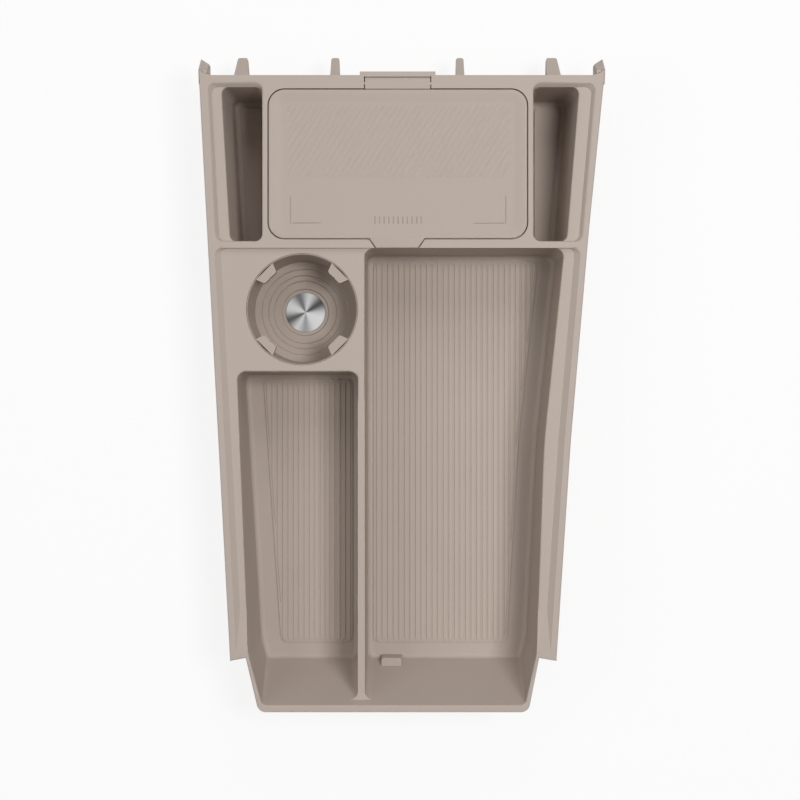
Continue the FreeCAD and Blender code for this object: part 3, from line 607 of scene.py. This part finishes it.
def smooth_by_angle(mesh: bpy.types.Mesh) -> None:
    """Shade a mesh smooth, with its sharp folds kept."""
    work = bmesh.new()
    work.from_mesh(mesh)
    for face in work.faces:
        face.smooth = True
    for edge in work.edges:
        edge.smooth = edge.calc_face_angle(0.0) < SMOOTH_ANGLE
    work.to_mesh(mesh)
    work.free()


def rings_mesh(name: str, rings: Sequence[Sequence[Vector]]) -> bpy.types.Mesh:
    """Closed skin over a row of rings with the same number of points.

    Args:
        name: Name of the mesh.
        rings: Rings from the first cap to the last.

    Returns:
        The mesh, with its faces pointing outwards.
    """
    work = bmesh.new()
    rows = [[work.verts.new(point) for point in ring] for ring in rings]
    for lower, upper in zip(rows, rows[1:]):
        count = len(lower)
        for i in range(count):
            j = (i + 1) % count
            work.faces.new((lower[i], lower[j], upper[j], upper[i]))
    work.faces.new(list(reversed(rows[0])))
    work.faces.new(rows[-1])
    bmesh.ops.recalc_face_normals(work, faces=work.faces)
    mesh = bpy.data.meshes.new(name)
    work.to_mesh(mesh)
    work.free()
    return mesh


@dataclass(frozen=True)
class SoftEdges:
    """Sharp upper edges of a piece that are rounded: those at given heights and outside the spared boxes."""

    levels: Sequence[float]
    spared: Sequence[Box] = ()
    width: float = 1.1 * MM
    steps: int = 4
    roundness: float = 0.5

    def picks(self, edge: bmesh.types.BMEdge) -> bool:
        """Tell whether an edge is rounded."""
        if len(edge.link_faces) != 2 or not edge.is_convex or edge.calc_face_angle() < EDGE_ANGLE:
            return False
        for left, right, front, rear in self.spared:
            if any(left < vert.co.x < right and front < vert.co.y < rear for vert in edge.verts):
                return False
        return any(all(abs(vert.co.z - level) < LEVEL_SLACK for vert in edge.verts) for level in self.levels)

    def cut(self, work: bmesh.types.BMesh) -> None:
        """Round the edges.

        Args:
            work: Mesh to change.
        """
        chosen = [edge for edge in work.edges if self.picks(edge)]
        bmesh.ops.bevel(work, geom=chosen, offset=self.width, offset_type="OFFSET", segments=self.steps,
                        profile=self.roundness, affect="EDGES", clamp_overlap=False, loop_slide=True)


def cad_copy(node: bpy.types.Object, name: str, edges: SoftEdges | None = None) -> bpy.types.Object:
    """Merged and smoothly shaded copy of a CAD node.

    Args:
        node: The CAD node.
        name: Name of the new piece.
        edges: Edges that are rounded, if any are.

    Returns:
        The new piece.
    """
    work = bmesh.new()
    work.from_mesh(node.data)
    bmesh.ops.remove_doubles(work, verts=work.verts, dist=MERGE_REACH)
    bmesh.ops.dissolve_degenerate(work, edges=work.edges, dist=SLIVER_LENGTH)
    bmesh.ops.dissolve_limit(work, angle_limit=FLAT_ANGLE, verts=work.verts, edges=work.edges,
                             use_dissolve_boundaries=False, delimit=set())
    if edges:
        edges.cut(work)
    mesh = bpy.data.meshes.new(name)
    work.to_mesh(mesh)
    work.free()
    mesh.materials.clear()
    smooth_by_angle(mesh)
    obj = new_object(name, mesh)
    weighted = obj.modifiers.new("flat_faces_stay_flat", "WEIGHTED_NORMAL")
    weighted.keep_sharp = True
    weighted.weight = FACE_WEIGHT
    return finished(obj)


# Rows of ribs


class RowTree(NodeMaker):
    """Geometry Nodes tree for a row of like bars, with the sides of its field and its sizes as inputs."""

    def __init__(self, name: str, area: Box, sizes: dict[str, float]) -> None:
        """Make the tree's interface.

        Args:
            name: Name of the tree and of the piece that it makes.
            area: Left, right, front and rear of the field.
            sizes: Names of the other inputs, with their values for this piece.
        """
        super().__init__(bpy.data.node_groups.new(name, "GeometryNodeTree"))
        self.name = name
        self.values = {}
        sides = dict(zip(("Left", "Right", "Front", "Rear"), area))
        for size, value in {**sides, **sizes}.items():
            item = self.tree.interface.new_socket(size, in_out="INPUT", socket_type="NodeSocketFloat")
            self.values[item.identifier] = value
        self.tree.interface.new_socket("Geometry", in_out="OUTPUT", socket_type="NodeSocketGeometry")
        self.source = self.tree.nodes.new("NodeGroupInput")
        self.target = self.tree.nodes.new("NodeGroupOutput")

    def size(self, name: str) -> Wire:
        """One of the tree's named inputs."""
        return self.wire(self.source.outputs[name])

    def index(self) -> Wire:
        """Number of each point in the row, from 0."""
        return self.wire(self.node("GeometryNodeInputIndex").outputs[0])

    def vector(self, x: "Wire | float", y: "Wire | float", z: "Wire | float") -> bpy.types.NodeSocket:
        """Vector made of three values."""
        return self.node("ShaderNodeCombineXYZ", inputs={"X": x, "Y": y, "Z": z}).outputs[0]

    def row(self, count: Wire, bar: bpy.types.NodeSocket, place: bpy.types.NodeSocket, length: Wire,
            turn: "Wire | float" = 0.0) -> bpy.types.NodeSocket:
        """Copies of a bar that has unit length along Y.

        Args:
            count: Number of copies.
            bar: Geometry of the bar.
            place: Position of each copy.
            length: Length of each copy.
            turn: Angle that each copy is turned by.

        Returns:
            The copies.
        """
        line = self.node("GeometryNodeMeshLine", inputs={"Count": count})
        points = self.node("GeometryNodeSetPosition", inputs={
            "Geometry": line.outputs["Mesh"],
            "Position": place,
        })
        copies = self.node("GeometryNodeInstanceOnPoints", inputs={
            "Points": points.outputs["Geometry"],
            "Instance": bar,
            "Rotation": self.vector(0.0, 0.0, turn),
            "Scale": self.vector(1.0, length, 1.0),
        })
        return copies.outputs["Instances"]

    def piece(self, geometry: bpy.types.NodeSocket, material: bpy.types.Material) -> bpy.types.Object:
        """End the tree in Realize Instances and Set Material, and run it on an empty mesh.

        Args:
            geometry: What the tree has made.
            material: Finish of the piece.

        Returns:
            The piece as a plain mesh.
        """
        real = self.node("GeometryNodeRealizeInstances", inputs={"Geometry": geometry})
        dressed = self.node("GeometryNodeSetMaterial", inputs={
            "Geometry": real.outputs[0],
            "Material": material,
        })
        self.feed(self.target.inputs["Geometry"], dressed.outputs[0])
        obj = new_object(self.name, bpy.data.meshes.new(self.name))
        modifier = obj.modifiers.new(self.name, "NODES")
        modifier.node_group = self.tree
        for identifier, value in self.values.items():
            modifier[identifier] = value
        return finished(obj)


@dataclass(frozen=True)
class RibProfile:
    """Cross-section of a moulded rib: a low bar with round shoulders."""

    width: float
    height: float

    def bar(self, tree: RowTree) -> bpy.types.NodeSocket:
        """One rib of unit length along Y, with its middle at the origin.

        Args:
            tree: Tree that the rib is made in.

        Returns:
            The rib's geometry.
        """
        path = tree.node("GeometryNodeCurvePrimitiveLine", inputs={"Start": (0, -0.5, 0), "End": (0, 0.5, 0)})
        ring = tree.node("GeometryNodeCurvePrimitiveCircle", inputs={"Resolution": BAR_SIDES, "Radius": 1.0})
        flat = tree.node("GeometryNodeTransform", inputs={
            "Geometry": ring.outputs["Curve"],
            "Scale": (self.width / 2, self.height, 1.0),
        })
        solid = tree.node("GeometryNodeCurveToMesh", inputs={
            "Curve": path.outputs["Curve"],
            "Profile Curve": flat.outputs["Geometry"],
            "Fill Caps": True,
        })
        return solid.outputs["Mesh"]


@dataclass
class StraightRibs:
    """Even row of ribs along Y, from the left side of their field to the right."""

    profile: RibProfile
    pitch: float

    def build(self, name: str, area: Box, level: float, material: bpy.types.Material) -> bpy.types.Object:
        """Make the ribs.

        Args:
            name: Name of the piece.
            area: Left, right, front and rear of the field. The first rib stands on its left side.
            level: Height of the ribs' middle.
            material: Finish of the ribs.

        Returns:
            The ribs as one piece.
        """
        tree = RowTree(name, area, {"Pitch": self.pitch})
        gaps = ((tree.size("Right") - tree.size("Left")) / tree.size("Pitch")).call("FLOOR")
        x = tree.size("Left") + tree.index() * tree.size("Pitch")
        middle = (tree.size("Rear") + tree.size("Front")) * 0.5
        length = tree.size("Rear") - tree.size("Front")
        ribs = tree.row(gaps + 1.0, self.profile.bar(tree), tree.vector(x, middle, level), length)
        return tree.piece(ribs, material)


@dataclass
class SlantedRibs:
    """Row of slanted ribs cut off at the sides of their field."""

    profile: RibProfile
    pitch: float
    angle: float
    least_length: float = 0.1 * MM

    def build(self, name: str, area: Box, level: float, material: bpy.types.Material) -> bpy.types.Object:
        """Make the ribs.

        Args:
            name: Name of the piece.
            area: Left, right, front and rear of the field.
            level: Height of the ribs' middle.
            material: Finish of the ribs.

        Returns:
            The ribs as one piece.
        """
        tree = RowTree(name, area, {"Pitch": self.pitch, "Angle": self.angle})
        left = tree.size("Left")
        right = tree.size("Right")
        slope = tree.size("Angle").call("TANGENT")
        half = (tree.size("Rear") - tree.size("Front")) * 0.5
        reach = half / slope
        count = ((right - left + reach * 2.0) / tree.size("Pitch")).call("FLOOR")
        centre = left - reach + (tree.index() + 0.5) * tree.size("Pitch")
        low = ((left - centre) * slope).call("MAXIMUM", half * -1.0)
        high = ((right - centre) * slope).call("MINIMUM", half)
        middle = (low + high) * 0.5
        y = (tree.size("Front") + tree.size("Rear")) * 0.5 + middle
        place = tree.vector(centre + middle / slope, y, level)
        length = ((high - low) / tree.size("Angle").call("SINE")).call("MAXIMUM", self.least_length)
        turn = tree.size("Angle") - math.pi / 2
        ribs = tree.row(count, self.profile.bar(tree), place, length, turn)
        return tree.piece(ribs, material)


# Sub-assemblies


@dataclass
class SubAssembly:
    """Some of the tray's pieces, which share its palette."""

    palette: Palette

    def settle(self, obj: bpy.types.Object, material: bpy.types.Material, slot: Slot, body: Body,
               nodes: Sequence[str] = ()) -> None:
        """Dress a piece and tie it to its body.

        Args:
            obj: The piece.
            material: Its finish.
            slot: The record's slot for it; not used.
            body: The body that it rides on.
            nodes: CAD nodes that it stands for.
        """
        obj.data.materials.clear()
        obj.data.materials.append(material)
        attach(obj, body.value)
        if nodes:
            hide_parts(*nodes)
        log.info("made %s with %d faces", obj.name, len(obj.data.polygons))


@dataclass
class TrayShell(SubAssembly):
    """The moulded shell with a thin web under its hinge. Its edges stay sharp inside the spared boxes."""

    ledge_drop: float = 3.0 * MM
    spared_bar: Box = (-0.094, 0.092, 0.104, 0.222)
    spared_hinge: Box = (-0.034, 0.030, 0.200, 0.250)
    spared_cup: Box = (-0.112, -0.027, 0.022, 0.104)
    web: Box = (-0.0257, 0.0223, 0.2165, 0.2272)
    web_corner: float = 1.0 * MM
    web_depth: float = 8.6 * MM
    web_wall: float = 0.8 * MM

    def build(self, nodes: dict[str, bpy.types.Object]) -> None:
        """Make the shell from its CAD node, and the web."""
        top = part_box("tray_body")[1].z
        edges = SoftEdges((top, top - self.ledge_drop), (self.spared_bar, self.spared_hinge, self.spared_cup))
        shell = cad_copy(nodes["tray_body"], "tray_shell", edges)
        self.settle(shell, self.palette.tray, Slot.TRAY, Body.TRAY, ["tray_body"])
        outline = rounded_box(self.web, self.web_corner)
        rings = [level_ring(outline, top - drop) for drop in (self.web_depth + self.web_wall, self.web_depth)]
        web = new_object("hinge_web", rings_mesh("hinge_web", rings))
        self.settle(web, self.palette.tray, Slot.TRAY, Body.TRAY)


# Centre lines of the lid's corner marks
MARK_LINES_MM = {
    "lid_mark_left_upright": ((-76.7, 142.8), (-76.7, 123.6)),
    "lid_mark_left_foot": ((-75.1, 124.1), (-55.5, 124.1)),
    "lid_mark_right_upright": ((74.1, 143.2), (74.1, 123.6)),
    "lid_mark_right_foot": ((51.6, 123.9), (73.2, 123.9)),
}


@dataclass
class Lid(SubAssembly):
    """Lid panel with its thumb tab, lid frame, slanted ribs and moulded marks."""

    lip: float = 1.9 * MM
    lip_round: float = 0.7 * MM
    lip_steps: int = 5
    slope: float = 9.2 * MM
    dish: float = 1.3 * MM
    dish_steps: int = 8
    corner: float = 11.2 * MM
    least_corner: float = 3.0 * MM
    under_chamfer: float = 1.3 * MM
    tab_reach: float = 6.6 * MM
    tab_left: float = -21.4 * MM
    tab_right: float = 17.2 * MM
    tab_taper: float = 4.6 * MM
    field_left: float = 13.7 * MM
    field_right: float = 12.1 * MM
    field_rear: float = 11.3 * MM
    field_front: float = 43.4 * MM
    rib_pitch: float = 4.68 * MM
    rib_angle: float = math.radians(57.8)
    rib: RibProfile = RibProfile(2.1 * MM, 0.34 * MM)
    mark: RibProfile = RibProfile(0.8 * MM, 0.2 * MM)
    tick: RibProfile = RibProfile(1.0 * MM, 0.2 * MM)
    tick_pitch: float = 3.25 * MM
    tick_row: Box = (-17.55 * MM, 15.4 * MM, 123.4 * MM, 128.6 * MM)

    def build(self, nodes: dict[str, bpy.types.Object]) -> None:
        """Make the lid's pieces."""
        low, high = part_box("lid_panel")
        front = low.y + self.tab_reach
        panel = new_object("lid_top_panel", self.panel_mesh(Vector((low.x, front, low.z)), high))
        smooth_by_angle(panel.data)
        self.settle(panel, self.palette.lid, Slot.LID, Body.LID, ["lid_panel"])
        tab = new_object("lid_thumb_tab", self.tab_mesh(low, high.z))
        smooth_by_angle(tab.data)
        self.settle(tab, self.palette.lid, Slot.LID, Body.LID)
        frame = cad_copy(nodes["lid_frame"], "lid_lower_frame")
        self.settle(frame, self.palette.lid, Slot.LID, Body.LID, ["lid_frame"])
        level = high.z - self.dish
        area = (low.x + self.field_left, high.x - self.field_right, front + self.field_front,
                high.y - self.field_rear)
        ribs = SlantedRibs(self.rib, self.rib_pitch, self.rib_angle).build(
            "lid_slanted_ribs", area, level - SINK, self.palette.lid)
        smooth_by_angle(ribs.data)
        self.settle(ribs, self.palette.lid, Slot.LID, Body.LID)
        self.add_marks(level)

    def add_marks(self, level: float) -> None:
        """Corner marks and the row of short ticks between them.

        Args:
            level: Height of the dished face.
        """
        # Marks and ticks take the darker mark finish, which is painted shade of engraved lines
        for name, line in MARK_LINES_MM.items():
            start, end = (Vector((x, y, 0)) * MM for x, y in line)
            stroke = new_object(name, self.stroke_mesh(name, start, end, level))
            self.settle(stroke, self.palette.mark, Slot.LID, Body.LID)
        ticks = StraightRibs(self.tick, self.tick_pitch).build(
            "lid_ticks", self.tick_row, level - SINK, self.palette.mark)
        self.settle(ticks, self.palette.mark, Slot.LID, Body.LID)

    def stroke_mesh(self, name: str, start: Vector, end: Vector, level: float) -> bpy.types.Mesh:
        """Low straight bar between two points.

        Args:
            name: Name of the mesh.
            start: First end of the bar's centre line.
            end: Second end of it.
            level: Height of the bar's middle.

        Returns:
            The mesh.
        """
        along = (end - start).normalized()
        across = Vector((-along.y, along.x, 0))
        rings = []
        for middle in (start, end):
            ring = []
            for i in range(BAR_SIDES):
                angle = 2 * math.pi * i / BAR_SIDES
                ring.append(middle + across * (self.mark.width / 2 * math.cos(angle))
                            + Vector((0, 0, level + self.mark.height * math.sin(angle))))
            rings.append(ring)
        return rings_mesh(name, rings)

    def round_edge(self, top: float) -> list[Point]:
        """Round upper edge of the lip and the tab, from below.

        Args:
            top: Height that the edge ends at.

        Returns:
            Insets from the outline, each with its height.
        """
        stations = []
        for i in range(self.lip_steps + 1):
            angle = math.radians(90.0 * i / self.lip_steps)
            inset = self.lip_round * (1 - math.cos(angle))
            stations.append((inset, top - self.lip_round * (1 - math.sin(angle))))
        return stations

    def tab_mesh(self, low: Vector, top: float) -> bpy.types.Mesh:
        """Thumb tab in front of the lid, with a round upper edge.

        Args:
            low: Lowest corner of the panel with its tab.
            top: Height of the lip.

        Returns:
            The mesh.
        """
        shoulder = low.y + self.tab_reach
        rear = shoulder + self.lip / 2
        rings = []
        for inset, z in [(0.0, low.z), *self.round_edge(top)]:
            left = self.tab_left + inset
            right = self.tab_right - inset
            tip = low.y + inset
            outline = [(left, rear), (left, shoulder), (left + self.tab_taper, tip),
                       (right - self.tab_taper, tip), (right, shoulder), (right, rear)]
            rings.append(level_ring(outline, z - SINK))
        return rings_mesh("lid_thumb_tab", rings)

    def panel_mesh(self, low: Vector, high: Vector) -> bpy.types.Mesh:
        """Panel with a round lip and a dished face.

        Args:
            low: Lowest corner of the panel.
            high: Highest corner of the panel.

        Returns:
            The mesh.
        """
        flat_end = self.lip - self.lip_round
        stations = [(self.under_chamfer, low.z), (0.0, low.z + self.under_chamfer)]
        stations.extend(self.round_edge(high.z))
        stations.append((flat_end, high.z))
        for i in range(1, self.dish_steps + 1):
            share = i / self.dish_steps
            drop = self.dish * (3 * share ** 2 - 2 * share ** 3)
            stations.append((flat_end + self.slope * share, high.z - drop))
        rings = []
        for inset, z in stations:
            area = (low.x + inset, high.x - inset, low.y + inset, high.y - inset)
            outline = rounded_box(area, max(self.corner - inset, self.least_corner))
            rings.append(level_ring(outline, z))
        return rings_mesh("lid_top_panel", rings)


@dataclass
class CupWell(SubAssembly):
    """Cup liner and the metal disc in it."""

    def build(self, nodes: dict[str, bpy.types.Object]) -> None:
        """Make the liner and the disc from their CAD nodes."""
        liner = cad_copy(nodes["cup_liner"], "cup_soft_liner")
        self.settle(liner, self.palette.liner, Slot.LINER, Body.TRAY, ["cup_liner"])
        disc = cad_copy(nodes["cup_disc"], "cup_metal_disc")
        self.settle(disc, self.palette.disc, Slot.DISC, Body.TRAY, ["cup_disc"])


@dataclass
class HingePin(SubAssembly):
    """Pin that the lid turns on, held in the shell's ears."""

    def build(self, nodes: dict[str, bpy.types.Object]) -> None:
        """Make the pin from its CAD node."""
        pin = cad_copy(nodes["hinge_pin"], "lid_hinge_pin")
        self.settle(pin, self.palette.pin, Slot.PIN, Body.TRAY, ["hinge_pin"])


@dataclass
class Mats(SubAssembly):
    """Ribbed mats of the wells and plain pads of the side pockets."""

    def build(self, nodes: dict[str, bpy.types.Object]) -> None:
        """Make the mats and pads from their CAD nodes, which have the ribs."""
        for name in ("mat_small", "mat_large", "mat_pocket_left", "mat_pocket_right"):
            mat = cad_copy(nodes[name], f"{name}_pad")
            self.settle(mat, self.palette.mat, Slot.MAT, Body.TRAY, [name])


# Studio


@dataclass(frozen=True)
class Lamp:
    """Square area lamp that faces the tray."""

    name: str
    place: Place
    width: float
    watts: float

    def build(self) -> None:
        """Hang the lamp."""
        data = bpy.data.lights.new(self.name, "AREA")
        data.size = self.width
        data.energy = self.watts
        lamp = bpy.data.objects.new(self.name, data)
        lamp.location = self.place
        lamp.rotation_euler = (-Vector(self.place)).to_track_quat("-Z", "Y").to_euler()
        bpy.context.scene.collection.objects.link(lamp)


@dataclass
class Studio:
    """Camera, floor, world and lamps."""

    camera_height: float = 1.25
    field_at_rim: float = 0.56
    sensor_mm: float = 36.0
    floor_half: float = 6.0
    floor_gap: float = 0.5 * MM
    world_colour: Colour = (1.0, 0.99, 0.98)
    world_strength: float = 0.22
    lamps: Sequence[Lamp] = (
        Lamp("key_softbox", (0.72, 0.15, 2.0), 0.6, 24.5),
        Lamp("left_softbox", (-1.4, 0.0, 1.6), 1.2, 10.0),
        Lamp("rear_softbox", (0.1, 1.6, 1.6), 1.2, 10.5),
    )

    def build(self) -> None:
        """Set up everything around the tray."""
        low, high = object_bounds()
        self.add_camera(high[2])
        self.add_floor(low[2])
        self.add_world()
        for lamp in self.lamps:
            lamp.build()
        bpy.context.scene.view_settings.view_transform = "Standard"

    def add_camera(self, rim: float) -> None:
        """Camera that looks straight down on the rim."""
        data = bpy.data.cameras.new("camera")
        data.sensor_width = self.sensor_mm
        data.lens = self.sensor_mm * self.camera_height / self.field_at_rim
        camera = bpy.data.objects.new("camera", data)
        camera.location = (0.0, 0.0, rim + self.camera_height)
        bpy.context.scene.collection.objects.link(camera)
        bpy.context.scene.camera = camera

    def add_floor(self, level: float) -> None:
        """Large white floor under the tray."""
        work = bmesh.new()
        half = self.floor_half
        corners = ((-half, -half), (half, -half), (half, half), (-half, half))
        work.faces.new([work.verts.new(point) for point in level_ring(corners, level - self.floor_gap)])
        mesh = bpy.data.meshes.new("floor")
        work.to_mesh(mesh)
        work.free()
        mesh.materials.append(PaleBackdrop().build())
        floor = new_object("floor", mesh)
        floor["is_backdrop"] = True

    def add_world(self) -> None:
        """Even white surroundings."""
        world = bpy.data.worlds.new("studio")
        world.use_nodes = True
        background = world.node_tree.nodes["Background"]
        background.inputs["Color"].default_value = (*self.world_colour, 1.0)
        background.inputs["Strength"].default_value = self.world_strength
        bpy.context.scene.world = world


def main() -> None:
    """Load the frame, stage it and build every sub-assembly."""
    logging.basicConfig(level=logging.INFO, format="%(name)s: %(message)s")
    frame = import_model()
    nodes = frame["nodes"]
    low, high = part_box("cup_disc")
    palette = Palette.make(((low.x + high.x) / 2, (low.y + high.y) / 2))
    Studio().build()
    builders = [TrayShell(palette), Lid(palette), CupWell(palette), HingePin(palette), Mats(palette)]
    for builder in builders:
        builder.build(nodes)


if __name__ == "__main__":
    main()
